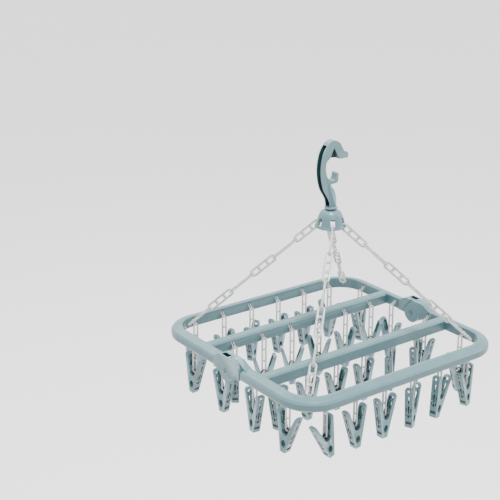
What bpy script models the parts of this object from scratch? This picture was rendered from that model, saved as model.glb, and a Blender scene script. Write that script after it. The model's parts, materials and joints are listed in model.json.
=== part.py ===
"""Folding clip drying hanger.

A swivel hook carries a small dome. Four chains run from the dome to the corners
of a frame made of two halves, which fold on two hinge pins. Thirty-two spring
clips hang from the frame on short chain links.

Units are metres, +Z is up, X runs along the hinge line and the bars, and +Y
points to the rear. The origin is the seat of the hook, where it rests on a rail.
"""
import math

import bmesh
import bpy
from mathutils import Matrix, Vector

# ---- Frame ---------------------------------------------------------------------
FRAME_Z = -0.284        # centre plane of the frame tubes
HALF_WIDTH = 0.185      # side tube centreline
HALF_DEPTH = 0.177      # front and rear tube centreline
CORNER_RADIUS = 0.048   # centreline radius of the corners
CORNER_STEPS = 6
TUBE = ((-8.0, -6.8), (-8.6, 5.2), (-6.6, 8.6), (-2.0, 9.3), (5.6, 6.3),
        (8.7, 2.4), (9.0, -2.6), (7.0, -7.2), (2.4, -9.3), (-4.2, -9.3))  # out, up (mm)
BAR_Y = 0.069
BAR = ((-8.5, -7.5), (-8.5, 6.2), (-6.0, 9.0), (6.0, 9.0), (8.5, 6.2),
       (8.5, -7.5), (7.0, -9.0), (-7.0, -9.0))                            # out, up (mm)
BAR_END = 0.182         # the bars run into the side tubes up to here
HOLE_X = (0.0275, 0.0826, 0.1378)
HOLE_Y = (0.0393, 0.118)
HOLE_Z = 0.004
HOLE_RADIUS = 0.0026
HOLE_DEPTH = 0.005

# ---- Hinge, as distances from the frame's centre plane and the hinge line --------
PIN_Z = -0.0053
PIN_RADIUS = 0.003
PIN_BORE = 0.0034
PIN_ENDS = (0.1765, 0.1935)
EAR_RADIUS = 0.016
LAYER_INNER = (0.1760, 0.1812)   # the front half's ear
LAYER_MIDDLE = (0.1818, 0.1880)  # the rear half's box, then the front half's block
LAYER_OUTER = (0.1886, 0.1940)   # the rear half's cheek
HINGE_TOP = 0.017
TUBE_FLOOR = -0.0088
REAR_TUBE_START = 0.027
FRONT_TUBE_START = 0.0372

# ---- Hook, in its XZ plane (mm) ----------------------------------------------------
HOOK_THICK = 0.011      # across the plane of the hook
HOOK_BACK = ((-6.0, -78.0), (-8.6, -62.0), (-20.0, -42.0), (-24.8, -15.0), (-19.8, 12.0),
             (-6.0, 27.3), (9.0, 24.0), (18.5, 9.8))
HOOK_TAB = ((25.7, 6.8), (26.8, 2.1), (26.0, -1.6))
HOOK_MOUTH = ((12.5, -1.4), (-9.4, 1.2), (-14.2, -3.4), (-15.4, -14.0), (-12.8, -24.8),
              (-8.6, -29.4))
HOOK_FINGER = ((-5.6, -32.6), (-1.6, -33.4), (2.6, -31.4), (4.6, -26.4), (5.2, -22.4),
               (7.4, -21.6), (8.8, -24.0), (8.5, -33.8), (6.0, -37.0), (-4.6, -37.4))
HOOK_FRONT = ((-5.0, -40.0), (1.4, -48.5), (5.6, -62.0), (6.4, -78.0))
HOOK_POCKET = ((-9.0, 0.4), (-0.6, 16.8), (10.4, -2.4))
POCKET_FLOOR = 0.0025   # wall left behind the pocket in the near side of the arch
GROOVE_DEPTH = 0.006    # channel along the back of the hook
GROOVE_WIDTH = 0.0082
GROOVE_FROM = 0.022     # the channel runs from this height
GROOVE_TO = -0.071      # down to this one
NECK_Z = -0.0735        # top of the round collar at the foot of the hook
COLLAR_RADIUS = 0.0100
COLLAR_HEIGHT = 0.0030
STEM_RADIUS = 0.0045
STEM_CLIP_Z = -0.0822   # the stem widens here, under the dome's roof
STEM_CLIP_RADIUS = 0.0072
STEM_BOTTOM = -0.091

# ---- Dome, as radius and height (mm) -----------------------------------------------
DOME_OUTER = ((5.3, -78.8), (9.6, -78.8), (13.4, -80.6), (16.4, -84.6), (18.8, -90.6),
              (20.9, -97.6), (22.6, -102.0), (23.8, -104.9))
DOME_INNER = ((21.8, -104.9), (20.5, -102.0), (18.8, -97.0), (16.8, -90.8),
              (14.6, -85.6), (12.2, -82.4), (9.2, -81.2), (5.3, -81.2))
DOME_SEGMENTS = 24
SLOT_WIDTH = 0.008
SLOT_TOP = -0.0895
SLOT_FOOT = -0.1012

# ---- Chains ----------------------------------------------------------------------
CHAIN_TOP = Vector((0.0110, 0.0191, -0.1032))     # joint of a chain, in the dome's rim
CHAIN_END = Vector((0.1605, 0.1527, -0.281))      # inside the corner of the frame
CHAIN_LEAD = 0.0060     # the first link starts this far inside the joint
CHAIN_CLEAR = 0.0025    # the last link stops this far before the corner point
LINKS = 6
LINK_WIDTH = 0.012
LINK_THICK = 0.0022
LINK_RAIL = 0.20        # width of a link's rails, as a share of its width
LINK_BRIDGE = 0.0028    # bars between a link's windows
LINK_BITE = 0.0003      # hooked links overlap by this much, which joins them
DROP_WIDTH = 0.0096
DROP_THICK = 0.0022

# ---- Clips -----------------------------------------------------------------------
CLIP_JOINT_Z = -0.013   # hanging joint, from the frame's centre plane
REAR_INSET = 0.015      # hanging joint, from the centreline of a rear tube or bar
FRONT_INSET = 0.0145    # hanging joint, from the centreline of a front tube or bar
SIDE_INSET = 0.016
DROP_TOP = 0.0125       # top of the drop chain, from the hanging joint
DROP_FOOT = 0.0012      # its last bar reaches this far under the spring's axis
SPRING_DROP = 0.047     # the spring hangs this far below the joint
JAW_WIDTH = 0.0125
JAW_GAP = 0.00015       # half the gap between the two closed jaws
COIL_SPACE = 0.0056     # radius left free around the spring
COIL_RADIUS = 0.0036
COIL_WIRE = 0.00065
COIL_PITCH = 0.0016
COIL_TURNS = 2.5

# Each clip: twist of its opening about the vertical, then its lean, in degrees.
REAR_ROW = ((-70, 0), (10, 0), (28, 0), (11, 0), (11, 0), (-70, 0))
REAR_BAR_ROW = ((54, 0), (-25, 0), (-30, 0), (-60, 0), (-4, 0), (-20, 0))
FRONT_BAR_ROW = ((20, 0), (2, 0), (0, 0), (8, 0), (38, 0), (30, 0))
FRONT_ROW = ((5, -17), (2, -4), (5, 3), (26, 8), (14, 17), (17, -9))
LEFT_ROW = ((-84, 6), (-84, 0), (-95, 0), (-80, 8))
RIGHT_ROW = ((22, -8), (-83, 0), (-84, 0), (-20, 0))
FACING = -30            # how the drop chains of joined clips are turned about the vertical
LEFT_FACING = -50       # the same for the row under the left-hand tubes

BLUE = (0.335, 0.475, 0.495)
CLEAR = (0.80, 0.83, 0.83)
STEEL = (0.20, 0.22, 0.23)


def clear_scene():
    for obj in list(bpy.data.objects):
        bpy.data.objects.remove(obj, do_unlink=True)


def make_material(name, colour, roughness, metallic=0.0):
    material = bpy.data.materials.new(name)
    material.use_nodes = True
    shader = material.node_tree.nodes["Principled BSDF"]
    shader.inputs["Base Color"].default_value = (*colour, 1.0)
    shader.inputs["Roughness"].default_value = roughness
    shader.inputs["Metallic"].default_value = metallic
    material.diffuse_color = (*colour, 1.0)
    return material


def mm(points):
    return [(a / 1000.0, b / 1000.0) for a, b in points]


def finish_mesh(name, bm):
    bmesh.ops.recalc_face_normals(bm, faces=bm.faces[:])
    mesh = bpy.data.meshes.new(name)
    bm.to_mesh(mesh)
    bm.free()
    mesh.shade_smooth()
    mesh.set_sharp_from_angle(angle=math.radians(35))
    return mesh


def add_object(name, mesh, material, location=(0, 0, 0), rotation=None):
    obj = bpy.data.objects.new(name, mesh)
    if not mesh.materials:
        mesh.materials.append(material)
    obj.location = location
    if rotation is not None:
        obj.rotation_euler = rotation.to_euler()
    bpy.context.scene.collection.objects.link(obj)
    return obj


# ---- Mesh builders: each returns a mesh ------------------------------------------
def loft(name, rings):
    """Closed skin through rings of points, with a cap on each end."""
    bm = bmesh.new()
    loops = [[bm.verts.new(p) for p in ring] for ring in rings]
    count = len(loops[0])
    for a, b in zip(loops, loops[1:]):
        for i in range(count):
            j = (i + 1) % count
            bm.faces.new((a[i], a[j], b[j], b[i]))
    bm.faces.new(loops[0])
    bm.faces.new(loops[-1])
    return finish_mesh(name, bm)


def extrude(name, points, shift):
    """A flat outline of 3-D points, extruded by a vector."""
    return loft(name, [points, [Vector(p) + Vector(shift) for p in points]])


def plate_yz(name, outline, x0, x1):
    points = [Vector((x0, y, z)) for y, z in outline]
    return extrude(name, points, (x1 - x0, 0, 0))


def plate_xz(name, outline, y0, y1):
    points = [Vector((x, y0, z)) for x, z in outline]
    return extrude(name, points, (0, y1 - y0, 0))


def box(name, low, high):
    outline = ((low[1], low[2]), (high[1], low[2]), (high[1], high[2]), (low[1], high[2]))
    return plate_yz(name, outline, low[0], high[0])


def circle_points(radius, count, centre=(0.0, 0.0), start=0.0, end=360.0):
    """Points on an arc, in degrees; a whole circle leaves its last point out."""
    whole = abs(end - start) >= 360.0
    steps = count if whole else count - 1
    angles = [math.radians(start + (end - start) * i / steps) for i in range(count)]
    return [(centre[0] + radius * math.cos(a), centre[1] + radius * math.sin(a))
            for a in angles]


def rod(name, start, direction, length, radius, sides):
    axis = Vector(direction).normalized()
    turn = axis.to_track_quat('Z', 'Y')
    ring = [Vector((x, y, 0)) for x, y in circle_points(radius, sides)]
    low = [Vector(start) + turn @ p for p in ring]
    return extrude(name, low, axis * length)


def turned(name, profile, segments):
    """A closed profile of (radius, z), turned about Z."""
    bm = bmesh.new()
    rings = []
    for i in range(segments):
        a = 2 * math.pi * i / segments
        rings.append([bm.verts.new((r * math.cos(a), r * math.sin(a), z))
                      for r, z in profile])
    count = len(profile)
    for i in range(segments):
        a, b = rings[i], rings[(i + 1) % segments]
        for k in range(count):
            j = (k + 1) % count
            bm.faces.new((a[k], a[j], b[j], b[k]))
    return finish_mesh(name, bm)


def combine(base, union=(), cut=()):
    """Join meshes to a mesh, cut others from it, and return the result."""
    host = bpy.data.objects.new("host", base)
    bpy.context.scene.collection.objects.link(host)
    helpers = []
    for operation, meshes in (("UNION", union), ("DIFFERENCE", cut)):
        for mesh in meshes:
            helper = bpy.data.objects.new("helper", mesh)
            bpy.context.scene.collection.objects.link(helper)
            helpers.append(helper)
            modifier = host.modifiers.new(operation, "BOOLEAN")
            modifier.operation = operation
            modifier.solver = "EXACT"
            modifier.object = helper
    bpy.context.view_layer.update()
    graph = bpy.context.evaluated_depsgraph_get()
    result = bpy.data.meshes.new_from_object(host.evaluated_get(graph))
    for obj in helpers + [host]:
        bpy.data.objects.remove(obj, do_unlink=True)
    bm = bmesh.new()
    bm.from_mesh(result)
    bmesh.ops.remove_doubles(bm, verts=bm.verts[:], dist=1e-6)
    bmesh.ops.dissolve_degenerate(bm, edges=bm.edges[:], dist=1e-6)
    bmesh.ops.triangulate(bm, faces=bm.faces[:])
    return finish_mesh(base.name, bm)


# ---- Frame -----------------------------------------------------------------------
def tube_rings(side, start):
    """Rings of the U-shaped tube; side is +1 for the rear half, -1 for the front."""
    stations = [(-HALF_WIDTH, start, 180.0)]
    centre_x = HALF_WIDTH - CORNER_RADIUS
    centre_y = HALF_DEPTH - CORNER_RADIUS
    for corner_x, first in ((-centre_x, 180.0), (centre_x, 90.0)):
        for i in range(CORNER_STEPS + 1):
            angle = first - 90.0 * i / CORNER_STEPS
            x = corner_x + CORNER_RADIUS * math.cos(math.radians(angle))
            y = centre_y + CORNER_RADIUS * math.sin(math.radians(angle))
            stations.append((x, y, angle))
    stations.append((HALF_WIDTH, start, 0.0))
    rings = []
    for x, y, angle in stations:
        outward = Vector((math.cos(math.radians(angle)), math.sin(math.radians(angle)), 0))
        rings.append([Vector((x + outward.x * u, side * (y + outward.y * u), w))
                      for u, w in mm(TUBE)])
    return rings


def crossbar(side):
    ring = [Vector((-BAR_END, side * (BAR_Y + u), w)) for u, w in mm(BAR)]
    return extrude("crossbar", ring, (2 * BAR_END, 0, 0))


def clip_holes(side):
    """Blind holes for the clips, in the faces that look towards the hinge line."""
    holes = []
    for y, face in ((HALF_DEPTH, 0.0086), (BAR_Y, 0.0085)):
        for x in HOLE_X:
            for sign in (-1, 1):
                start = (sign * x, side * (y - face - 0.001), HOLE_Z)
                holes.append(rod("hole", start, (0, side, 0),
                                 HOLE_DEPTH, HOLE_RADIUS, 6))
    for y in HOLE_Y:
        for sign in (-1, 1):
            start = (sign * (HALF_WIDTH - 0.0096), side * y, HOLE_Z)
            holes.append(rod("hole", start, (sign, 0, 0), HOLE_DEPTH, HOLE_RADIUS, 6))
    return holes


def layer(name, outline, span, sign):
    return plate_yz(name, outline, sign * span[0], sign * span[1])


def pin_bore(sign):
    return rod("pin_bore", (sign * 0.170, 0, PIN_Z), (sign, 0, 0), 0.030, PIN_BORE, 16)


def rear_hinge(sign):
    """Cheek and open box of the rear half on one side."""
    rise = [(0.030, TUBE_FLOOR), (0.030, 0.0064), (0.0235, 0.0125), (0.0145, HINGE_TOP)]
    disc = circle_points(EAR_RADIUS, 9, (0, PIN_Z), 205, 348)
    cheek = rise + [(-0.0200, HINGE_TOP), (-0.0270, 0.0120), (-0.0320, 0.0050),
                    (-0.0345, -0.0020), (-0.0320, TUBE_FLOOR)] + disc
    middle = rise + [(-0.0062, HINGE_TOP), (-0.0062, TUBE_FLOOR)]
    seat = circle_points(EAR_RADIUS + 0.0007, 7, (0, PIN_Z), -12, 58)
    inner = rise + [(0.0022, HINGE_TOP), *reversed(seat)]
    cheek_span = (LAYER_OUTER[0], LAYER_OUTER[1])
    middle_span = (LAYER_MIDDLE[0], LAYER_OUTER[0] + 0.001)
    inner_span = (LAYER_INNER[0], LAYER_MIDDLE[0] + 0.001)
    plates = [layer("cheek", cheek, cheek_span, sign),
              layer("hinge_box", middle, middle_span, sign),
              layer("hinge_inner", inner, inner_span, sign)]
    pocket_x = sorted((sign * 0.1834, sign * 0.1916))
    pocket = box("pocket", (pocket_x[0], -0.0030, 0.0040), (pocket_x[1], 0.0125, 0.020))
    return plates, [pocket]


def front_hinge(sign):
    """Ear and block of the front half on one side."""
    tail = [(-0.0240, HINGE_TOP), (-0.0360, 0.0112), (-0.0460, 0.0080),
            (-0.0460, TUBE_FLOOR)]
    disc = circle_points(EAR_RADIUS, 14, (0, PIN_Z), 193, 418)
    ear = tail + disc + [(0.0005, HINGE_TOP)]
    block = tail + [(-0.0080, TUBE_FLOOR), (-0.0080, HINGE_TOP)]
    ear_span = LAYER_INNER
    block_span = (LAYER_INNER[1] - 0.001, LAYER_MIDDLE[1])
    return [layer("ear", ear, ear_span, sign), layer("hinge_block", block, block_span, sign)]


def frame_half(name, side, material):
    start = REAR_TUBE_START if side > 0 else FRONT_TUBE_START
    tube = loft(name, tube_rings(side, start))
    union = [crossbar(side)]
    cut = clip_holes(side)
    for sign in (-1, 1):
        if side > 0:
            plates, pockets = rear_hinge(sign)
            union += plates
            cut += pockets
        else:
            union += front_hinge(sign)
        cut.append(pin_bore(sign))
    mesh = combine(tube, union, cut)
    mesh.transform(Matrix.Translation((0, 0, -PIN_Z)))
    add_object(name, mesh, material, (0, 0, FRAME_Z + PIN_Z))


def hinge_pins(material):
    for name, sign in (("hinge_pin_left", -1), ("hinge_pin_right", 1)):
        mesh = rod(name, (sign * PIN_ENDS[0], 0, 0), (sign, 0, 0),
                   PIN_ENDS[1] - PIN_ENDS[0], PIN_RADIUS, 16)
        add_object(name, mesh, material, (0, 0, FRAME_Z + PIN_Z))


# ---- Hook and dome ---------------------------------------------------------------
def smooth(points, steps):
    """Points along a rounded curve through a few guide points."""
    guide = [Vector(p) for p in points]
    guide = [2 * guide[0] - guide[1]] + guide + [2 * guide[-1] - guide[-2]]
    path = []
    for a, b, c, d in zip(guide, guide[1:], guide[2:], guide[3:]):
        for i in range(steps):
            t = i / steps
            path.append(0.5 * (2 * b + (c - a) * t + (2 * a - 5 * b + 4 * c - d) * t * t
                               + (3 * b - a - 3 * c + d) * t ** 3))
    return [tuple(p) for p in path] + [tuple(guide[-2])]


def hook_groove(back):
    """Cutter for the channel that follows the back of the hook."""
    low, high = GROOVE_TO, GROOVE_FROM
    line = [Vector(p) for p in back if low < p[1] < high and p[0] < 0]
    outside, inside = [], []
    for i, point in enumerate(line):
        along = line[min(i + 1, len(line) - 1)] - line[max(i - 1, 0)]
        inward = Vector((along.y, -along.x)).normalized()
        outside.append(point - inward * 0.002)
        inside.append(point + inward * GROOVE_DEPTH)
    outline = outside + inside[::-1]
    return plate_xz("groove", outline, -GROOVE_WIDTH / 2, GROOVE_WIDTH / 2)


def hook(material):
    back = smooth(mm(HOOK_BACK), 3)
    outline = back + mm(HOOK_TAB) + mm(HOOK_MOUTH[:1]) + smooth(mm(HOOK_MOUTH[1:]), 2)
    outline += mm(HOOK_FINGER) + mm(HOOK_FRONT)
    half = HOOK_THICK / 2
    body = plate_xz("hook", outline, -half, half)
    pocket = plate_xz("pocket", mm(HOOK_POCKET), -half - 0.001, half - POCKET_FLOOR)
    bottom = NECK_Z - COLLAR_HEIGHT
    profile = ((0.0, NECK_Z), (COLLAR_RADIUS - 0.001, NECK_Z),
               (COLLAR_RADIUS, NECK_Z - 0.001), (COLLAR_RADIUS, bottom),
               (STEM_RADIUS, bottom), (STEM_RADIUS, STEM_CLIP_Z),
               (STEM_CLIP_RADIUS, STEM_CLIP_Z - 0.0004),
               (STEM_CLIP_RADIUS, STEM_CLIP_Z - 0.0024),
               (STEM_RADIUS, STEM_BOTTOM), (0.0, STEM_BOTTOM))
    stem = turned_solid("stem", profile, 20)
    mesh = combine(body, [stem], [pocket, hook_groove(back)])
    add_object("hook", mesh, material)


def turned_solid(name, profile, segments):
    """A profile that starts and ends on the axis, turned about Z."""
    bm = bmesh.new()
    top = bm.verts.new((0, 0, profile[0][1]))
    bottom = bm.verts.new((0, 0, profile[-1][1]))
    rings = []
    for i in range(segments):
        a = 2 * math.pi * i / segments
        rings.append([bm.verts.new((r * math.cos(a), r * math.sin(a), z))
                      for r, z in profile[1:-1]])
    for i in range(segments):
        a, b = rings[i], rings[(i + 1) % segments]
        bm.faces.new((top, a[0], b[0]))
        bm.faces.new((bottom, b[-1], a[-1]))
        for k in range(len(a) - 1):
            bm.faces.new((a[k], a[k + 1], b[k + 1], b[k]))
    return finish_mesh(name, bm)


def dome(material):
    shell = turned("dome", mm(DOME_OUTER + DOME_INNER), DOME_SEGMENTS)
    slots = []
    for azimuth in range(0, 360, 60):
        slot = box("slot", (0.012, -SLOT_WIDTH / 2, SLOT_FOOT),
                   (0.030, SLOT_WIDTH / 2, SLOT_TOP))
        slot.transform(Matrix.Rotation(math.radians(azimuth), 4, 'Z'))
        slots.append(slot)
    add_object("dome", combine(shell, cut=slots), material)


# ---- Chains ----------------------------------------------------------------------
def link_mesh(length, width, thick, top):
    """Flat link with three windows, lying in XZ and hanging from z = top."""
    half = width / 2
    end = circle_points(half, 5, (0, top - half), 0, 180)
    middle = top - length / 2
    outline = end + [(-x, 2 * middle - z) for x, z in end]
    body = plate_xz("link", outline, -thick / 2, thick / 2)
    rail = LINK_RAIL * width
    inner = half - rail
    window = (length - 2 * rail - 2 * LINK_BRIDGE) / 3
    cuts = []
    for i in range(3):
        high = top - rail - i * (window + LINK_BRIDGE)
        cuts.append(box("window", (-inner, -thick, high - window), (inner, thick, high)))
    return combine(body, cut=cuts)


def chain_mesh():
    """Six links along -Z, each turned a quarter from the last."""
    span = (CHAIN_END - CHAIN_TOP).length + CHAIN_LEAD - CHAIN_CLEAR
    hooked = 2 * LINK_RAIL * LINK_WIDTH - LINK_BITE
    length = (span + (LINKS - 1) * hooked) / LINKS
    links = []
    for i in range(LINKS):
        top = CHAIN_LEAD - i * (length - hooked)
        link = link_mesh(length, LINK_WIDTH, LINK_THICK, top)
        if i % 2:
            link.transform(Matrix.Rotation(math.radians(90), 4, 'Z'))
        links.append(link)
    return combine(links[0], links[1:])


def suspension_chains(material):
    mesh = chain_mesh()
    for name, sx, sy in (("chain_rear_left", -1, 1), ("chain_rear_right", 1, 1),
                         ("chain_front_left", -1, -1), ("chain_front_right", 1, -1)):
        top = Vector((sx * CHAIN_TOP.x, sy * CHAIN_TOP.y, CHAIN_TOP.z))
        end = Vector((sx * CHAIN_END.x, sy * CHAIN_END.y, CHAIN_END.z))
        down = (end - top).normalized()
        across = Vector((-down.y, down.x, 0)).normalized()
        width = across.cross(down)
        turn = Matrix((width, across, -down)).transposed()
        if turn.determinant() < 0:
            turn = Matrix((-width, across, -down)).transposed()
        add_object(name, mesh, material, top, turn)


# ---- Clips -----------------------------------------------------------------------
def jaw_outline():
    """Side view of one jaw: distance from the middle plane, then height (metres)."""
    tip = [(JAW_GAP, -0.0355), (JAW_GAP, -0.0245)]
    slot = [(JAW_GAP + 0.0026, -0.0220), (JAW_GAP + 0.0026, -0.0160), (JAW_GAP, -0.0135)]
    seat = circle_points(COIL_SPACE, 4, (0, 0), -88, 12)
    grip = mm(((14.2, 27.6), (15.6, 30.8), (18.2, 31.0), (19.3, 28.4), (13.1, 2.0),
               (4.6, -35.0)))
    return tip + slot + seat + grip


def jaw_mesh(name, side, lean, hole_sides):
    """One jaw about the spring's centre; side is +1 or -1 along X."""
    outline = [(side * x, z) for x, z in jaw_outline()]
    mesh = plate_xz(name, outline, -JAW_WIDTH / 2, JAW_WIDTH / 2)
    if hole_sides:
        hole = rod("hole", (side * 0.010, 0, 0.0285), (side, 0, -0.25), 0.013,
                   0.0023, hole_sides)
        mesh = combine(mesh, cut=[hole])
    mesh.transform(Matrix.Rotation(math.radians(lean), 4, 'Y'))
    return mesh


def drop_chain_mesh(turn):
    """Three-window link from the hanging joint to the spring, its width turned from X."""
    length = DROP_TOP + SPRING_DROP + DROP_FOOT
    mesh = link_mesh(length, DROP_WIDTH, DROP_THICK, DROP_TOP)
    mesh.transform(Matrix.Rotation(math.radians(turn), 4, 'Z'))
    return mesh


def whole_clip_mesh(lean, turn):
    """Drop chain, spring and both jaws in one body, from the hanging joint down."""
    coil = rod("coil", (0, -0.004, 0), (0, 1, 0), 0.008, 0.0043, 8)
    legs = box("legs", (-0.0095, -0.0007, -0.0002), (0.0095, 0.0007, 0.0024))
    legs.transform(Matrix.Rotation(math.radians(lean), 4, 'Y'))
    parts = [coil, legs, jaw_mesh("jaw", 1, lean, 0), jaw_mesh("jaw", -1, lean, 0)]
    for part in parts:
        part.transform(Matrix.Translation((0, 0, -SPRING_DROP)))
    return combine(drop_chain_mesh(turn), parts)


def spring_curve(name, material, location, rotation):
    """Coil of round wire about its own Y axis."""
    curve = bpy.data.curves.new(name, "CURVE")
    curve.dimensions = "3D"
    curve.bevel_depth = COIL_WIRE
    curve.bevel_resolution = 0
    curve.use_fill_caps = True
    steps = int(COIL_TURNS * 8)
    spline = curve.splines.new("POLY")
    spline.points.add(steps)
    for i, point in enumerate(spline.points):
        angle = 2 * math.pi * COIL_TURNS * i / steps
        y = COIL_PITCH * COIL_TURNS * (i / steps - 0.5)
        point.co = (COIL_RADIUS * math.cos(angle), y, COIL_RADIUS * math.sin(angle), 1)
    curve.materials.append(material)
    obj = bpy.data.objects.new(name, curve)
    obj.location = location
    obj.rotation_euler = rotation.to_euler()
    bpy.context.scene.collection.objects.link(obj)


def clip_places():
    """Name, joint position, twist and lean of every clip."""
    z = FRAME_Z + CLIP_JOINT_Z
    columns = [sign * x for sign, xs in ((-1, HOLE_X[::-1]), (1, HOLE_X)) for x in xs]
    rows = (("rear", HALF_DEPTH - REAR_INSET, REAR_ROW),
            ("rear_bar", BAR_Y - REAR_INSET, REAR_BAR_ROW),
            ("front_bar", -BAR_Y + FRONT_INSET, FRONT_BAR_ROW),
            ("front", -HALF_DEPTH + FRONT_INSET, FRONT_ROW))
    places = []
    for row, y, turns in rows:
        for i, (x, (twist, lean)) in enumerate(zip(columns, turns)):
            places.append(("clip_%s_%d" % (row, i + 1), (x, y, z), twist, lean))
    side_y = (HOLE_Y[1], HOLE_Y[0], -HOLE_Y[0], -HOLE_Y[1])
    for row, sign, turns in (("left", -1, LEFT_ROW), ("right", 1, RIGHT_ROW)):
        x = sign * (HALF_WIDTH - SIDE_INSET)
        for i, (y, (twist, lean)) in enumerate(zip(side_y, turns)):
            places.append(("clip_%s_%d" % (row, i + 1), (x, y, z), twist, lean))
    return places


def clips(blue, clear, steel):
    """The front row is made piece by piece; every other clip is one body."""
    for name, joint, twist, lean in clip_places():
        turn = Matrix.Rotation(math.radians(twist), 3, 'Z')
        if not name.startswith("clip_front_") or name.startswith("clip_front_bar"):
            facing = LEFT_FACING if "left" in name else FACING
            add_object(name, whole_clip_mesh(lean, facing - twist), blue, joint, turn)
            continue
        spring = Vector(joint) - Vector((0, 0, SPRING_DROP))
        add_object(name + "_drop_chain", drop_chain_mesh(90), clear, joint, turn)
        spring_curve(name + "_spring", steel, spring, turn)
        for part, side in (("_left_jaw", -1), ("_right_jaw", 1)):
            jaw = jaw_mesh(name + part, side, lean, 6)
            add_object(name + part, jaw, blue, spring, turn)


def main():
    clear_scene()
    blue = make_material("blue_plastic", BLUE, 0.45)
    clear = make_material("clear_plastic", CLEAR, 0.30)
    steel = make_material("spring_steel", STEEL, 0.30, 1.0)
    hook(blue)
    dome(blue)
    frame_half("frame_rear_half", 1, blue)
    frame_half("frame_front_half", -1, blue)
    hinge_pins(blue)
    suspension_chains(clear)
    clips(blue, clear, steel)


main()
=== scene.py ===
"""Looks of the folding clip drying hanger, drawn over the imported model."""
import json
import math

import bmesh
import bpy
from mathutils import Matrix, Vector


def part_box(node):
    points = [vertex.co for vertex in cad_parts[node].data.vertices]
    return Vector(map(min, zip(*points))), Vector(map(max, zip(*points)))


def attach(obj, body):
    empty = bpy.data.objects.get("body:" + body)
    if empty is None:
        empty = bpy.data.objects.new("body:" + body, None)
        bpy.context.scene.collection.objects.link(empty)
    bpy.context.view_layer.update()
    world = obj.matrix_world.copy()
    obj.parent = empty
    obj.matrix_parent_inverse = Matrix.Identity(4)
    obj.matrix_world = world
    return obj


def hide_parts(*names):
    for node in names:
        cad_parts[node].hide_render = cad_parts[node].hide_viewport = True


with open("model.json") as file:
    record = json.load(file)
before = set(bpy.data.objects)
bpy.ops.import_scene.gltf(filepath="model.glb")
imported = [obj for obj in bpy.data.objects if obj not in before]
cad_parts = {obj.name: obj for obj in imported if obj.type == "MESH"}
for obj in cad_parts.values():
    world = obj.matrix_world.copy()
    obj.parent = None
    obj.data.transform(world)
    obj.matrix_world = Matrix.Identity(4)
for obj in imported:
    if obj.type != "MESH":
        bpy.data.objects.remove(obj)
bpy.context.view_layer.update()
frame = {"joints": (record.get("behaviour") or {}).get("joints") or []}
JOINTS = {joint["name"]: joint for joint in frame["joints"]}

# ---- Driving dimensions, in metres; outlines marked (mm) are in millimetres --------
PIN_DROP = 0.0053                       # the hinge pins lie this far under the tubes' centres
PIN_Z = JOINTS["fold"]["pos_m"][2]
FRAME_Z = PIN_Z + PIN_DROP              # centre plane of the frame's tubes
HALF_WIDTH = 0.185
HALF_DEPTH = 0.177
CORNER_RADIUS = 0.048
CORNER_STEPS = 18
# Section of the tube (mm): outwards, upwards, and the radius of the corner.
TUBE = ((-8.2, -8.8, 1.6), (-8.7, 9.2, 1.6), (-2.6, 9.6, 3.0), (6.2, 6.2, 1.4),
        (8.98, 2.6, 3.0), (8.98, -5.6, 4.0), (4.6, -9.4, 4.0))
BAR = ((-8.5, -9.0, 1.4), (-8.5, 6.4, 0.5), (-5.9, 9.0, 0.5), (5.9, 9.0, 0.5),
       (8.5, 6.4, 0.5), (8.5, -9.0, 1.4))
TUBE_FACE = 0.0087                      # inner face of the tube, from its centreline
BAR_FACE = 0.0085
BAR_Y = 0.069
BAR_END = 0.182
HOLE_X = (0.0275, 0.0826, 0.1378)
HOLE_Y = (0.0393, 0.118)
HOLE_Z = 0.004
HOLE_RADIUS = 0.0026
HOLE_DEPTH = 0.0055
HOLE_PROUD = 0.001                      # the holes' cutters start this far outside the tube
CUT_PROUD = 0.002                       # cutters of the groove and the jaws' slots do so this far

EAR_RADIUS = 0.016
HINGE_TOP = 0.017
TUBE_FLOOR = -0.0088
REAR_TUBE_START = 0.027
FRONT_TUBE_START = 0.0372
LAYER_INNER = (0.1760, 0.1812)
LAYER_MIDDLE = (0.1818, 0.1880)
LAYER_OUTER = (0.1886, 0.1940)
LAYER_OVERLAP = 0.001                   # joined layers run this far into each other
HINGE_RISE = ((0.030, TUBE_FLOOR), (0.030, 0.0064), (0.0235, 0.0125), (0.0145, HINGE_TOP))
HINGE_TAIL = ((-0.0240, HINGE_TOP), (-0.0360, 0.0112), (-0.0460, 0.0080),
              (-0.0460, TUBE_FLOOR))
HINGE_NOSE = 0.0345                     # radius of the cheek's front edge
EAR_PLAY = 0.0007                       # between the ear and the seat that it turns in
BOX_END = -0.0062
BLOCK_END = -0.0080
HINGE_POCKET = ((0.1834, 0.1916), (-0.0030, 0.0125), (0.0040, 0.020))   # X, Y, Z spans
BORE_START = 0.170
BORE_LENGTH = 0.030
BORE_RADIUS = 0.0034
PIN_RADIUS = 0.003
PIN_MARK = (0.0025, 0.0015, 0.0006)     # outer radius, inner radius, depth

HOOK_HALF = 0.0055
HOOK_BACK = ((-6.0, -78.0), (-8.6, -62.0), (-20.0, -42.0), (-24.8, -15.0), (-19.8, 12.0),
             (-6.0, 27.2), (9.0, 24.0), (18.5, 9.8))
HOOK_TAB = ((25.7, 6.8), (26.8, 2.1), (26.0, -1.6))
HOOK_MOUTH = ((12.5, -1.4), (-9.4, 1.2), (-14.2, -3.4), (-15.4, -14.0), (-12.8, -24.8),
              (-8.6, -29.4))
HOOK_FINGER = ((-5.6, -32.6), (-1.6, -33.4), (2.6, -31.4), (4.6, -26.4), (5.2, -22.4),
               (7.4, -21.6), (8.8, -24.0), (8.5, -33.8), (6.0, -37.0), (-4.6, -37.4))
HOOK_FRONT = ((-5.0, -40.0), (1.4, -48.5), (5.6, -62.0), (6.4, -78.0))
HOOK_POCKET = ((-9.0, 0.2), (-0.6, 16.8), (10.4, -2.4))
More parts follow.
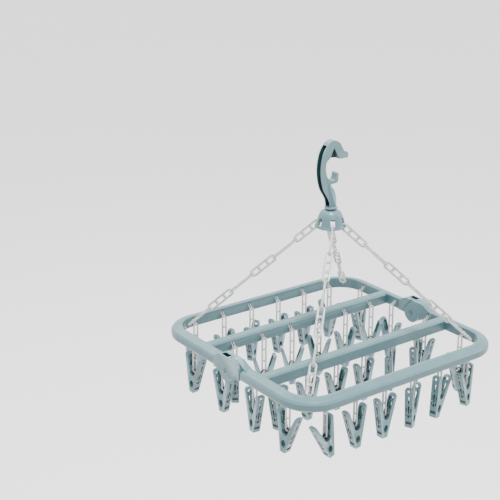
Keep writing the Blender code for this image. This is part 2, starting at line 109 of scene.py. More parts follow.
HOOK_STEM = ((0.01, -91.0), (0.01, -73.5), (8.6, -73.5), (9.7, -74.1), (10.0, -75.0),
             (9.8, -76.3), (9.0, -76.7), (4.5, -76.7), (4.5, -82.2), (7.2, -82.6),
             (7.2, -84.6), (4.5, -91.0))                    # radius, height (mm)
POCKET_START = -0.008                   # the pocket's cutter starts outside the hook
POCKET_WALL = 0.002                     # left standing behind the pocket
FOOT_LOW = (-0.0115, -0.0046, -0.0720)  # recess at the foot of the channel, its faces in painted shade
FOOT_HIGH = (-0.0015, 0.0046, -0.0640)
GROOVE_DEPTH = 0.006
GROOVE_HALF = 0.0041
GROOVE_FOOT = -0.071
GROOVE_HEAD = 0.022

DOME_OUTER = ((5.3, -78.8), (9.6, -78.8), (11.6, -79.5), (14.6, -81.6), (16.9, -85.2),
              (18.9, -90.6), (20.9, -97.2), (22.0, -101.2), (23.3, -102.8), (23.8, -104.2),
              (23.3, -105.0))
DOME_INNER = ((21.6, -104.9), (20.6, -102.0), (19.0, -97.0), (17.0, -90.8),
              (14.8, -85.6), (12.2, -82.4), (9.2, -81.2), (5.3, -81.2))
SLOT_REACH = (0.012, 0.030)             # the slots' cutters span these radii
SLOT_STEP = 60                          # degrees from slot to slot
SLOT_HALF = 0.0035
SLOT_TOP = -0.0895
SLOT_FOOT = -0.1010

LINK_WIDTH = 0.012
LINK_THICK = 0.0024
LINK_RAIL = 0.0031
LINK_BRIDGE = 0.0040
LINKS = 6
LINK_SLACK = 0.0001                     # play between two hooked links
LINK_EDGE = 0.22                        # share of a link's thickness that is rounded
WINDOW_CORNER = 0.55                    # corner radius of a window, against half its width
CHAIN_LEAD = 0.0060                     # the first link starts this far above its joint
CHAIN_CLEAR = 0.0025                    # the last link ends this far before its corner
CORNER_X, CORNER_Y, CORNER_Z = 0.1605, 0.1527, FRAME_Z + 0.003
PEG_LENGTH = 0.009
PEG_RADIUS = 0.0022
PEG_SHIFT = 0.0005                      # the peg starts this far outside the corner's point

DROP_WIDTH = 0.0082
DROP_THICK = 0.0021
DROP_RAIL = 0.0026
DROP_TOP = 0.0125
DROP_BRIDGE = 0.0024
DROP_FOOT = 0.0012                      # the last bar ends this far under the spring's centre
SPRING_DROP = 0.047                     # the spring hangs this far under the hole's joint
# The short link in a hole: length, width, thickness, rail, bridge and windows.
FIRST_LINK = (0.0125, 0.0048, 0.0016, 0.0012, 0.0010, 1)
FIRST_START = 0.001                     # it starts this far past its hole's point
FIRST_AIM = 0.0045                      # and aims this far under the drop chain's top
HOLE_INSET = 0.0072                     # from the tube's centreline to that point
JAW_HALF = 0.00625
JAW_OUTER = ((19.3, 28.4), (13.1, 2.0), (4.6, -33.6))       # outer face (mm)
JAW_HANDLE = ((14.2, 27.6), (15.2, 30.4), (16.6, 31.2), (18.4, 30.8))
JAW_HOLLOW = ((6.6, 8.0), (11.8, 26.2), (16.4, 25.0), (12.0, 8.0))
JAW_TOP = 0.0316
JAW_TIP = -0.0350
JAW_CHAMFER = 0.0012
JAW_GAP = 0.00012                       # half the gap between two closed jaws
HANDLE_HOLE = ((0.008, 0, 0.0268), (1, 0, -0.25), 0.016, 0.0023, 20)   # as for rod()
KEYHOLE = ((-0.0004, 0.0040), (0.0004, 0.0040), (0.0013, 0.0165), (-0.0013, 0.0165))
KEYHOLE_START = 0.004
KEYHOLE_DEPTH = 0.018
COIL_SEAT = 0.0056                      # radius left free round the coil
HOLLOW_HALF = 0.0044
EYE = (0.0040, 0.0062, -0.0198)         # half width, half height and place of the eye
# Slots in the outer face, their faces in painted shade: depth, lower end, upper end, and their two
# sides in Y.
JAW_SLOTS = ((0.0024, -0.0120, 0.0010, -0.0011, 0.0011),
             (0.0012, -0.0180, -0.0135, -0.0016, 0.0016),
             (0.0009, -0.0290, -0.0245, -0.0044, 0.0044),
             (0.0020, -0.0090, -0.0020, -0.0043, -0.0029),
             (0.0016, -0.0160, -0.0120, -0.0042, -0.0030),
             (0.0020, -0.0090, -0.0020, 0.0029, 0.0043),
             (0.0016, -0.0160, -0.0120, 0.0030, 0.0042))
WIRE = 0.00080
COIL_RADIUS = 0.0040
COIL_TURNS = 3.0
COIL_PITCH = 0.0014
COIL_STEPS = 60
SPRING_LEG = ((6.6, 2.1, -4.4), (9.6, 1.4, -3.0), (11.4, 0.4, -3.4), (10.8, 0.0, -7.0),
              (9.7, 0.0, -11.4))                            # (mm)

# Each clip: twist of its opening about the vertical, then its lean, in degrees.
TURNS = {
    "rear": ((-70, 0), (10, 0), (28, 0), (11, 0), (11, 0), (-70, 0)),
    "rear_bar": ((54, 0), (-25, 0), (-30, 0), (-60, 0), (-4, 0), (-20, 0)),
    "front_bar": ((20, 0), (2, 0), (0, 0), (8, 0), (38, 0), (30, 0)),
    "front": ((5, -17), (2, -4), (5, 3), (26, 8), (14, 17), (17, -9)),
    "left": ((-84, 6), (-84, 0), (-95, 0), (-80, 8)),
    "right": ((22, -8), (-83, 0), (-84, 0), (-20, 0)),
}

# How each row's drop chains are turned about the vertical, in degrees.
LADDER_TURN = {"rear": -30, "rear_bar": -30, "front_bar": -30, "left": -50, "right": -30}

# ---- Camera ----------------------------------------------------------------------
CAMERA_AZIMUTH = math.radians(36.05)
CAMERA_ELEVATION = math.radians(19.8)
CAMERA_DISTANCE = 1.8476
CAMERA_OFFSET = (-0.1204, 0.1326)
CAMERA_LENS = 85.9
FLOOR_Z = -1.10
SKY = 1.9                               # strength of the even white surroundings
# Lamps: name, place, size and power.
LAMPS = (("key", (-0.3, -0.7, 2.3), 0.5, 120), ("side", (1.7, -1.0, 0.6), 1.0, 12),
         ("back", (0.5, 2.0, 1.4), 1.0, 16))


# ---- Materials -------------------------------------------------------------------
def new_material(name):
    material = bpy.data.materials.new(name)
    material.use_nodes = True
    tree = material.node_tree
    shader = tree.nodes["Principled BSDF"]
    place = tree.nodes.new("ShaderNodeTexCoord")
    return material, tree, shader, place.outputs["Object"]


def noise(tree, place, scale, detail=3.0):
    node = tree.nodes.new("ShaderNodeTexNoise")
    node.inputs["Scale"].default_value = scale
    node.inputs["Detail"].default_value = detail
    tree.links.new(place, node.inputs["Vector"])
    return node.outputs["Fac"]


def remap(tree, value, low, high, start=0.3, end=0.7):
    node = tree.nodes.new("ShaderNodeMapRange")
    node.inputs["From Min"].default_value = start
    node.inputs["From Max"].default_value = end
    node.inputs["To Min"].default_value = low
    node.inputs["To Max"].default_value = high
    tree.links.new(value, node.inputs["Value"])
    return node.outputs["Result"]


def mix_colours(tree, factor, a, b):
    node = tree.nodes.new("ShaderNodeMix")
    node.data_type = "RGBA"
    for socket, value in ((node.inputs["A"], a), (node.inputs["B"], b)):
        if isinstance(value, tuple):
            socket.default_value = (*value, 1.0)
        else:
            tree.links.new(value, socket)
    tree.links.new(factor, node.inputs["Factor"])
    return node.outputs["Result"]


def add_bump(tree, shader, height, strength, distance):
    node = tree.nodes.new("ShaderNodeBump")
    node.inputs["Strength"].default_value = strength
    node.inputs["Distance"].default_value = distance
    tree.links.new(height, node.inputs["Height"])
    tree.links.new(node.outputs["Normal"], shader.inputs["Normal"])


def edges(tree, start, end):
    """0 on faces, 1 on convex edges."""
    node = tree.nodes.new("ShaderNodeNewGeometry")
    return remap(tree, node.outputs["Pointiness"], 0.0, 1.0, start, end)


def blue_plastic():
    """Satin polypropylene: cloudy, with painted shade that darkens a face the less it points up,
    paler on edges.
    """
    material, tree, shader, place = new_material("blue_plastic_visual")
    cloud = remap(tree, noise(tree, place, 45.0), 0.0, 1.0)
    body = mix_colours(tree, cloud, (0.078, 0.158, 0.176), (0.094, 0.182, 0.200))
    split = tree.nodes.new("ShaderNodeSeparateXYZ")
    tree.links.new(place.node.outputs["Normal"], split.inputs["Vector"])
    # Painted shade: faces that point down or sideways are mixed towards a darker blue.
    painted_shade = remap(tree, split.outputs["Z"], 1.0, 0.0, -0.35, 0.75)
    body = mix_colours(tree, painted_shade, body, (0.030, 0.078, 0.090))
    # Convex edges, found by pointiness, are mixed towards a paler blue.
    pale_edges = mix_colours(tree, edges(tree, 0.52, 0.62), body, (0.18, 0.29, 0.32))
    tree.links.new(pale_edges, shader.inputs["Base Color"])
    rough = remap(tree, noise(tree, place, 130.0, 5.0), 0.27, 0.38)
    tree.links.new(rough, shader.inputs["Roughness"])
    shader.inputs["Subsurface Weight"].default_value = 0.08
    shader.inputs["Subsurface Scale"].default_value = 0.002
    shader.inputs["Coat Weight"].default_value = 0.12
    shader.inputs["Coat Roughness"].default_value = 0.25
    add_bump(tree, shader, noise(tree, place, 900.0, 2.0), 0.05, 0.0001)
    return material


def clear_plastic():
    """Milky clear polypropylene of the chain links, faintly clouded."""
    material, tree, shader, place = new_material("clear_plastic_visual")
    cloud = remap(tree, noise(tree, place, 120.0), 0.0, 1.0)
    body = mix_colours(tree, cloud, (0.36, 0.38, 0.375), (0.48, 0.50, 0.49))
    tree.links.new(body, shader.inputs["Base Color"])
    rough = remap(tree, noise(tree, place, 300.0, 4.0), 0.20, 0.38)
    tree.links.new(rough, shader.inputs["Roughness"])
    shader.inputs["Transmission Weight"].default_value = 0.20
    shader.inputs["IOR"].default_value = 1.48
    shader.inputs["Subsurface Weight"].default_value = 0.15
    shader.inputs["Subsurface Scale"].default_value = 0.003
    add_bump(tree, shader, noise(tree, place, 700.0, 2.0), 0.12, 0.0002)
    return material


def spring_steel():
    """Dark drawn wire with a fine grain and darker patches."""
    material, tree, shader, place = new_material("spring_steel_visual")
    cloud = remap(tree, noise(tree, place, 400.0), 0.0, 1.0)
    body = mix_colours(tree, cloud, (0.02, 0.022, 0.022), (0.07, 0.075, 0.075))
    tree.links.new(body, shader.inputs["Base Color"])
    shader.inputs["Metallic"].default_value = 1.0
    rough = remap(tree, noise(tree, place, 900.0, 4.0), 0.22, 0.42)
    tree.links.new(rough, shader.inputs["Roughness"])
    add_bump(tree, shader, noise(tree, place, 2500.0, 2.0), 0.15, 0.0001)
    return material


def recess_shade_plastic():
    """Painted shade: the same plastic inside cuts, darkened so that they read as deep."""
    material, tree, shader, place = new_material("blue_plastic_painted_recess_shade")
    cloud = remap(tree, noise(tree, place, 160.0), 0.0, 1.0)
    body = mix_colours(tree, cloud, (0.002, 0.018, 0.020), (0.008, 0.036, 0.038))
    tree.links.new(body, shader.inputs["Base Color"])
    rough = remap(tree, noise(tree, place, 300.0, 4.0), 0.45, 0.70)
    tree.links.new(rough, shader.inputs["Roughness"])
    add_bump(tree, shader, noise(tree, place, 900.0, 2.0), 0.15, 0.0002)
    return material


BLUE = blue_plastic()
# Material of the painted shade inside holes, slots, grooves, pockets and marks.
PAINTED_RECESS_SHADE = recess_shade_plastic()
CLEAR = clear_plastic()
STEEL = spring_steel()


# ---- Mesh tools ------------------------------------------------------------------
def mm(points):
    return [(a / 1000.0, b / 1000.0) for a, b in points]


def arc(radius, count, centre, start, end):
    angles = [math.radians(start + (end - start) * i / (count - 1)) for i in range(count)]
    return [(centre[0] + radius * math.cos(a), centre[1] + radius * math.sin(a))
            for a in angles]


def fillet(points, steps=3):
    """Closed outline of (x, y, radius) in mm; every corner becomes an arc, in metres."""
    result = []
    count = len(points)
    for i, (x, y, radius) in enumerate(points):
        here = Vector((x, y))
        back = Vector(points[i - 1][:2]) - here
        ahead = Vector(points[(i + 1) % count][:2]) - here
        turn = back.angle(ahead)
        reach = min(radius / math.tan(turn / 2), 0.49 * back.length, 0.49 * ahead.length)
        a = here + back.normalized() * reach
        b = here + ahead.normalized() * reach
        for k in range(steps + 1):
            t = k / steps
            point = (1 - t) ** 2 * a + 2 * t * (1 - t) * here + t * t * b
            result.append((point.x / 1000.0, point.y / 1000.0))
    return result


def smooth(points, steps):
    """Points along a rounded curve through a few guide points."""
    guide = [Vector(p) for p in points]
    guide = [2 * guide[0] - guide[1]] + guide + [2 * guide[-1] - guide[-2]]
    path = []
    for a, b, c, d in zip(guide, guide[1:], guide[2:], guide[3:]):
        for i in range(steps):
            t = i / steps
            path.append(0.5 * (2 * b + (c - a) * t + (2 * a - 5 * b + 4 * c - d) * t * t
                               + (3 * b - a - 3 * c + d) * t ** 3))
    return [tuple(p) for p in path] + [tuple(guide[-2])]


def to_mesh(name, bm):
    bmesh.ops.recalc_face_normals(bm, faces=bm.faces[:])
    mesh = bpy.data.meshes.new(name)
    bm.to_mesh(mesh)
    bm.free()
    return mesh


def loft(name, rings):
    """Closed skin through rings of points, with a cap on each end."""
    bm = bmesh.new()
    loops = [[bm.verts.new(p) for p in ring] for ring in rings]
    count = len(loops[0])
    for a, b in zip(loops, loops[1:]):
        for i in range(count):
            j = (i + 1) % count
            bm.faces.new((a[i], a[j], b[j], b[i]))
    bm.faces.new(loops[0])
    bm.faces.new(loops[-1])
    return to_mesh(name, bm)


def extrude(name, points, shift):
    shift = Vector(shift)
    return loft(name, [points, [Vector(p) + shift for p in points]])


def plate_yz(name, outline, x0, x1):
    return extrude(name, [Vector((x0, y, z)) for y, z in outline], (x1 - x0, 0, 0))


def plate_xz(name, outline, y0, y1):
    return extrude(name, [Vector((x, y0, z)) for x, z in outline], (0, y1 - y0, 0))


def block(name, low, high):
    outline = ((low[1], low[2]), (high[1], low[2]), (high[1], high[2]), (low[1], high[2]))
    return plate_yz(name, outline, low[0], high[0])


def rod(name, start, direction, length, radius, sides=20):
    axis = Vector(direction).normalized()
    turn = axis.to_track_quat("Z", "Y")
    ring = [Vector((x, y, 0)) for x, y in arc(radius, sides + 1, (0, 0), 0, 360)[:-1]]
    return extrude(name, [Vector(start) + turn @ p for p in ring], axis * length)


def turned(name, profile, segments):
    """A closed profile of (radius, z), turned about Z."""
    bm = bmesh.new()
    rings = []
    for i in range(segments):
        a = 2 * math.pi * i / segments
        rings.append([bm.verts.new((r * math.cos(a), r * math.sin(a), z))
                      for r, z in profile])
    count = len(profile)
    for i in range(segments):
        a, b = rings[i], rings[(i + 1) % segments]
        for k in range(count):
            j = (k + 1) % count
            bm.faces.new((a[k], a[j], b[j], b[k]))
    return to_mesh(name, bm)


def combine(base, union=(), cut=(), keep=None, bevel=0.0, segments=2, angle=32):
    """Join, cut and bevel meshes; the faces left by a cutter with painted shade keep that painted
    shade.
    """
    scene = bpy.context.scene.collection
    if not base.materials:
        base.materials.append(BLUE)
    host = bpy.data.objects.new("host", base)
    scene.objects.link(host)
    helpers = []
    common = () if keep is None else (keep,)
    for operation, meshes in (("UNION", union), ("DIFFERENCE", cut), ("INTERSECT", common)):
        for mesh in meshes:
            helper = bpy.data.objects.new("helper", mesh)
            scene.objects.link(helper)
            helpers.append(helper)
            modifier = host.modifiers.new(operation, "BOOLEAN")
            modifier.operation = operation
            modifier.solver = "EXACT"
            modifier.material_mode = "TRANSFER"
            modifier.object = helper
            if not mesh.materials:
                mesh.materials.append(BLUE)
    if bevel:
        weld = host.modifiers.new("weld", "WELD")
        weld.merge_threshold = 0.00002
        modifier = host.modifiers.new("bevel", "BEVEL")
        modifier.width = bevel
        modifier.segments = segments
        modifier.limit_method = "ANGLE"
        modifier.angle_limit = math.radians(angle)
        modifier.use_clamp_overlap = True
        modifier.harden_normals = True
    base.shade_smooth()
    bpy.context.view_layer.update()
    graph = bpy.context.evaluated_depsgraph_get()
    result = bpy.data.meshes.new_from_object(host.evaluated_get(graph))
    for obj in helpers + [host]:
        bpy.data.objects.remove(obj, do_unlink=True)
    result.name = base.name
    result.set_sharp_from_angle(angle=math.radians(24))
    for polygon in result.polygons:
        polygon.use_smooth = len(polygon.vertices) < 7 or polygon.area < 4e-6
    return weighted(result)


def weighted(mesh):
    """Give large flat faces their own normals, so that bevels shade crisply."""
    host = bpy.data.objects.new("host", mesh)
    bpy.context.scene.collection.objects.link(host)
    modifier = host.modifiers.new("weighted", "WEIGHTED_NORMAL")
    modifier.weight = 100
    modifier.keep_sharp = True
    bpy.context.view_layer.update()
    graph = bpy.context.evaluated_depsgraph_get()
    result = bpy.data.meshes.new_from_object(host.evaluated_get(graph))
    bpy.data.objects.remove(host, do_unlink=True)
    result.name = mesh.name
    return result


# Gives a cutter the material of painted shade, so that the faces it cuts look deep.
def paint_recess_shade(mesh):
    mesh.materials.append(PAINTED_RECESS_SHADE)
    return mesh


def piece(name, mesh, material, body, stands_for=(), matrix=None):
    """Show a mesh as a piece that rides on a body."""
    if not mesh.materials:
        mesh.materials.append(material)
    obj = bpy.data.objects.new(name, mesh)
    bpy.context.scene.collection.objects.link(obj)
    if matrix is not None:
        obj.matrix_world = matrix
    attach(obj, body)
    if stands_for:
        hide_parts(*stands_for)
    return obj


def frame_place():
    return Matrix.Translation((0, 0, FRAME_Z))


# ---- Frame -----------------------------------------------------------------------
def tube_rings(side, start):
    """Rings of the U-shaped tube; side is +1 for the rear half, -1 for the front."""
    section = fillet(TUBE)
    centre_x = HALF_WIDTH - CORNER_RADIUS
    centre_y = HALF_DEPTH - CORNER_RADIUS
    stations = [(-HALF_WIDTH, start, 180.0)]
    for corner_x, first in ((-centre_x, 180.0), (centre_x, 90.0)):
        for i in range(CORNER_STEPS + 1):
            angle = first - 90.0 * i / CORNER_STEPS
            x, y = arc(CORNER_RADIUS, 2, (corner_x, centre_y), angle, angle)[0]
            stations.append((x, y, angle))
    stations.append((HALF_WIDTH, start, 0.0))
    rings = []
    for x, y, angle in stations:
        out = Vector((math.cos(math.radians(angle)), math.sin(math.radians(angle)), 0))
        rings.append([Vector((x + out.x * u, side * (y + out.y * u), w))
                      for u, w in section])
    return rings


def crossbar(side):
    ring = [Vector((-BAR_END, side * (BAR_Y + u), w)) for u, w in fillet(BAR)]
    return extrude("crossbar", ring, (2 * BAR_END, 0, 0))


def clip_holes(side):
    holes = []
    # Every hole's cutter leaves painted shade on the faces it cuts.
    for y, face in ((HALF_DEPTH, TUBE_FACE), (BAR_Y, BAR_FACE)):
        for x in HOLE_X:
            for sign in (-1, 1):
                start = (sign * x, side * (y - face - HOLE_PROUD), HOLE_Z)
                holes.append(paint_recess_shade(rod("hole", start, (0, side, 0), HOLE_DEPTH,
                                      HOLE_RADIUS, 16)))
    for y in HOLE_Y:
        for sign in (-1, 1):
            start = (sign * (HALF_WIDTH - TUBE_FACE - HOLE_PROUD), side * y, HOLE_Z)
            holes.append(paint_recess_shade(rod("hole", start, (sign, 0, 0), HOLE_DEPTH, HOLE_RADIUS, 16)))
    return holes


def layer(name, outline, span, sign):
    return plate_yz(name, outline, sign * span[0], sign * span[1])


def rear_hinge(sign):
    rise = list(HINGE_RISE)
    disc = arc(EAR_RADIUS, 22, (0, -PIN_DROP), 205, 348)
    nose = arc(HINGE_NOSE, 8, (0, -PIN_DROP), 140, 186)
    cheek = rise + nose + disc
    middle = rise + [(BOX_END, HINGE_TOP), (BOX_END, TUBE_FLOOR)]
    seat = arc(EAR_RADIUS + EAR_PLAY, 12, (0, -PIN_DROP), -12, 58)
    inner = rise + [(0.0022, HINGE_TOP), *reversed(seat)]
    plates = [layer("cheek", cheek, LAYER_OUTER, sign),
              layer("hinge_box", middle, (LAYER_MIDDLE[0], LAYER_OUTER[0] + LAYER_OVERLAP), sign),
              layer("hinge_inner", inner, (LAYER_INNER[0], LAYER_MIDDLE[0] + LAYER_OVERLAP), sign)]
    across, along, up = HINGE_POCKET
    low, high = sorted((sign * across[0], sign * across[1]))
    # The pocket's faces are given painted shade.
    pocket = block("pocket", (low, along[0], up[0]), (high, along[1], up[1]))
    return plates, [paint_recess_shade(pocket)]


def front_hinge(sign):
    tail = list(HINGE_TAIL)
    disc = arc(EAR_RADIUS, 28, (0, -PIN_DROP), 193, 418)
    ear = tail + disc + [(0.0005, HINGE_TOP)]
    hump = tail + [(BLOCK_END, TUBE_FLOOR), (BLOCK_END, HINGE_TOP)]
    return [layer("ear", ear, LAYER_INNER, sign),
            layer("hinge_block", hump, (LAYER_INNER[1] - LAYER_OVERLAP, LAYER_MIDDLE[1]), sign)]


def pin_bore(sign):
    return rod("bore", (sign * BORE_START, 0, -PIN_DROP), (sign, 0, 0), BORE_LENGTH,
               BORE_RADIUS, 24)


def frame_half(name, side, body):
    start = REAR_TUBE_START if side > 0 else FRONT_TUBE_START
    tube = loft(name + "_visual", tube_rings(side, start))
    union, cut = [crossbar(side)], clip_holes(side)
    for sign in (-1, 1):
        if side > 0:
            plates, pockets = rear_hinge(sign)
            union += plates
            cut += pockets
        else:
            union += front_hinge(sign)
        cut.append(pin_bore(sign))
    mesh = combine(tube, union, cut, bevel=0.0006)
    piece(name + "_visual", mesh, BLUE, body, [name], frame_place())


def hinge_pins():
    for name, sign in (("hinge_pin_left", -1), ("hinge_pin_right", 1)):
        low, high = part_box(name)
        start = Vector((low.x if sign > 0 else high.x, 0, PIN_Z))
        mesh = rod(name + "_visual", start, (sign, 0, 0), high.x - low.x, PIN_RADIUS, 28)
        outer, inner, depth = PIN_MARK
        ring = arc(outer, 16, (0, PIN_Z), 40, 320) + arc(inner, 16, (0, PIN_Z), 40, 320)[::-1]
        # The marks' faces are given painted shade.
        marks = [paint_recess_shade(plate_yz("mark", ring, x - depth, x + depth)) for x in (low.x, high.x)]
        mesh = combine(mesh, cut=marks, bevel=0.0002)
        piece(name + "_visual", mesh, BLUE, "hinge_line", [name])


# ---- Hook and dome ---------------------------------------------------------------
def hook_groove(back):
    """Cutter for the channel that follows the back of the hook."""
    line = [Vector(p) for p in back if GROOVE_FOOT < p[1] < GROOVE_HEAD and p[0] < 0]
    outside, inside = [], []
    for i, point in enumerate(line):
        along = line[min(i + 1, len(line) - 1)] - line[max(i - 1, 0)]
        inward = Vector((along.y, -along.x)).normalized()
        outside.append(point - inward * CUT_PROUD)
        inside.append(point + inward * GROOVE_DEPTH)
    # The groove's faces are given painted shade.
    return paint_recess_shade(plate_xz("groove", outside + inside[::-1], -GROOVE_HALF, GROOVE_HALF))


def hook():
    back = smooth(mm(HOOK_BACK), 8)
    outline = back + mm(HOOK_TAB) + mm(HOOK_MOUTH[:1]) + smooth(mm(HOOK_MOUTH[1:]), 5)
    outline += smooth(mm(HOOK_FINGER), 3) + smooth(mm(HOOK_FRONT), 4)
    body = plate_xz("hook_visual", outline, -HOOK_HALF, HOOK_HALF)
    # The pocket and the foot recess are given painted shade.
    pocket = paint_recess_shade(plate_xz("pocket", mm(HOOK_POCKET), POCKET_START, HOOK_HALF - POCKET_WALL))
    stem = turned("stem", mm(HOOK_STEM), 48)
    foot = paint_recess_shade(block("foot", FOOT_LOW, FOOT_HIGH))
    mesh = combine(body, [stem], [pocket, foot, hook_groove(back)], bevel=0.0007)
    piece("hook_visual", mesh, BLUE, "hook", ["hook"])


def dome():
    shell = turned("dome_visual", mm(DOME_OUTER + DOME_INNER), 72)
    slots = []
    for azimuth in range(0, 360, SLOT_STEP):
        low = (SLOT_REACH[0], -SLOT_HALF, SLOT_FOOT)
        slot = combine(block("slot", low, (SLOT_REACH[1], SLOT_HALF, SLOT_TOP)), bevel=0.0012)
        slot.transform(Matrix.Rotation(math.radians(azimuth), 4, "Z"))
        slots.append(slot)
    mesh = combine(shell, cut=slots, bevel=0.0003)
    piece("dome_visual", mesh, BLUE, "dome", ["dome"])


# ---- Chains ----------------------------------------------------------------------
def link_mesh(name, length, width, thick, rail, bridge, windows=3):
    """Flat link with rounded windows, lying in XZ, its top at z = 0."""
    curve = bpy.data.curves.new(name, "CURVE")
    curve.dimensions = "2D"
    curve.fill_mode = "BOTH"
    rounding = LINK_EDGE * thick
    curve.extrude = thick / 2 - rounding
    curve.bevel_depth = rounding
    curve.bevel_resolution = 1
    half = width / 2 - rounding
    end = arc(half, 9, (0, -half - rounding), 0, 180)
    loops = [end + [(-x, -length - z) for x, z in end]]
    inner = width / 2 - rail + rounding
    height = (length - 2 * rail - (windows - 1) * bridge) / windows
    for i in range(windows):
        high = -rail - i * (height + bridge) + rounding
        low = high - height - 2 * rounding
        corner = WINDOW_CORNER * inner
        points = ((-inner, high), (inner, high), (inner, low), (-inner, low))
        loops.append(fillet([(1000 * x, 1000 * z, 1000 * corner) for x, z in points], 4))
    for loop in loops:
        spline = curve.splines.new("POLY")
        spline.points.add(len(loop) - 1)
        for point, (x, z) in zip(spline.points, loop):
            point.co = (x, z, 0, 1)
        spline.use_cyclic_u = True
    obj = bpy.data.objects.new(name, curve)
    bpy.context.scene.collection.objects.link(obj)
    bpy.context.view_layer.update()
    graph = bpy.context.evaluated_depsgraph_get()
    mesh = bpy.data.meshes.new_from_object(obj.evaluated_get(graph))
    bpy.data.objects.remove(obj, do_unlink=True)
    bm = bmesh.new()
    bm.from_mesh(mesh)
    bmesh.ops.remove_doubles(bm, verts=bm.verts[:], dist=1e-6)
    mesh = to_mesh(name, bm)
    mesh.transform(Matrix.Rotation(math.radians(90), 4, "X"))
    mesh.shade_smooth()
    mesh.set_sharp_from_angle(angle=math.radians(50))
    return mesh


def suspension_chain(name, mesh, length):
    """Six hooked links from the dome's rim to just short of a frame corner."""
    swing = JOINTS[name + "_swing"]
    top = Vector(swing["pos_m"])
    low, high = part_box(name)
    end = Vector((high.x if top.x > 0 else low.x, high.y if top.y > 0 else low.y, low.z))
    corner = Vector((math.copysign(CORNER_X, top.x), math.copysign(CORNER_Y, top.y), CORNER_Z))
    assert (corner - end).length < 0.01
    down = (corner - top).normalized()
    across = Vector((-down.y, down.x, 0)).normalized()
    width = across.cross(down)
    turn = Matrix((width, across, -down)).transposed()
    if turn.determinant() < 0:
        turn = Matrix((-width, across, -down)).transposed()
    place = Matrix.Translation(top) @ turn.to_4x4()
    pitch = length - 2 * LINK_RAIL - LINK_SLACK
    for i in range(LINKS):
        shift = Matrix.Translation((0, 0, CHAIN_LEAD - i * pitch))
        quarter = Matrix.Rotation(math.radians(90 * (i % 2)), 4, "Z")
        stands_for = [name] if i == 0 else []
        piece("%s_link_%d" % (name, i + 1), mesh, CLEAR, name, stands_for,
              place @ shift @ quarter)


def suspension_chains():
    top = Vector(JOINTS["chain_rear_right_swing"]["pos_m"])
    reach = (Vector((CORNER_X, CORNER_Y, CORNER_Z)) - top).length
    span = reach + CHAIN_LEAD - CHAIN_CLEAR
    length = (span + (LINKS - 1) * (2 * LINK_RAIL + LINK_SLACK)) / LINKS
    mesh = link_mesh("chain_link", length, LINK_WIDTH, LINK_THICK, LINK_RAIL, LINK_BRIDGE)
    for name in ("chain_rear_left", "chain_rear_right", "chain_front_left",
                 "chain_front_right"):
        suspension_chain(name, mesh, length)
        corner_peg(name)


def corner_peg(name):
    """Moulded peg inside the corner, just past the end of the last link."""
    half = "rear_half" if "rear" in name else "front_half"
    x = math.copysign(CORNER_X, 1 if "right" in name else -1)
    y = math.copysign(CORNER_Y, 1 if "rear" in name else -1)
    out = Vector((x, y, 0)).normalized()
    start = Vector((x, y, 0)) + out * PEG_SHIFT
    peg = rod("corner_peg", start, out, PEG_LENGTH, PEG_RADIUS, 16)
    mesh = combine(peg, bevel=0.0005)
    piece(name + "_corner_peg", mesh, BLUE, half, (), frame_place())


# ---- Clips -----------------------------------------------------------------------
def outer_line(shift, low, high):
    """Points on the jaw's outer face, moved outwards by shift, between two heights."""
    line = [Vector(p) / 1000.0 for p in JAW_OUTER]
    points = []
    for a, b in zip(line, line[1:]):
        for z in (high, a.y, b.y, low):
            if low <= z <= high and b.y <= z <= a.y:
                point = b + (a - b) * ((z - b.y) / (a.y - b.y))
                out = Vector((a.y - b.y, -(a.x - b.x))).normalized()
                points.append(point + out * shift)
    points.sort(key=lambda p: -p.y)
    return [tuple(p) for p in points]


def outer_cut(depth, low, high, y0, y1):
    """Cutter with painted shade that sinks into the jaw's outer face."""
    outline = outer_line(CUT_PROUD, low, high) + outer_line(-depth, low, high)[::-1]
    return paint_recess_shade(plate_xz("cut", outline, y0, y1))


def jaw_mesh():
    """Right-hand jaw about the spring's centre: hollow handle, slotted outer face."""
    eye = [(x * EYE[0] + JAW_GAP, EYE[2] + EYE[1] * z)
           for x, z in arc(1.0, 9, (0, 0), -90, 90)]
    tip = [(0.0040, JAW_TIP), (0.0008, JAW_TIP), (JAW_GAP, -0.0334)]
    seat = arc(COIL_SEAT, 8, (0, 0), -88, 12)
    outline = tip + eye + seat + mm(JAW_HANDLE + JAW_OUTER)
    body = plate_xz("jaw", outline, -JAW_HALF, JAW_HALF)
    top = arc(JAW_HALF, 17, (0, JAW_TOP - JAW_HALF), 0, 180)
    shoulder, foot = JAW_TIP + JAW_CHAMFER, JAW_HALF - JAW_CHAMFER
    face = top + [(-JAW_HALF, shoulder), (-foot, JAW_TIP), (foot, JAW_TIP), (JAW_HALF, shoulder)]
    keep = plate_yz("face", face, -0.001, 0.024)
    cuts = [outer_cut(*slot) for slot in JAW_SLOTS]
    cuts.append(plate_xz("hollow", mm(JAW_HOLLOW), -HOLLOW_HALF, HOLLOW_HALF))
    cuts.append(rod("end_hole", *HANDLE_HOLE))
    # The keyhole's faces are given painted shade.
    keyhole = [Vector((KEYHOLE_START, y, z)) for y, z in KEYHOLE]
    cuts.append(paint_recess_shade(extrude("keyhole", keyhole, (KEYHOLE_DEPTH, 0, 0))))
    return combine(body, cut=cuts, keep=keep, bevel=0.00035)


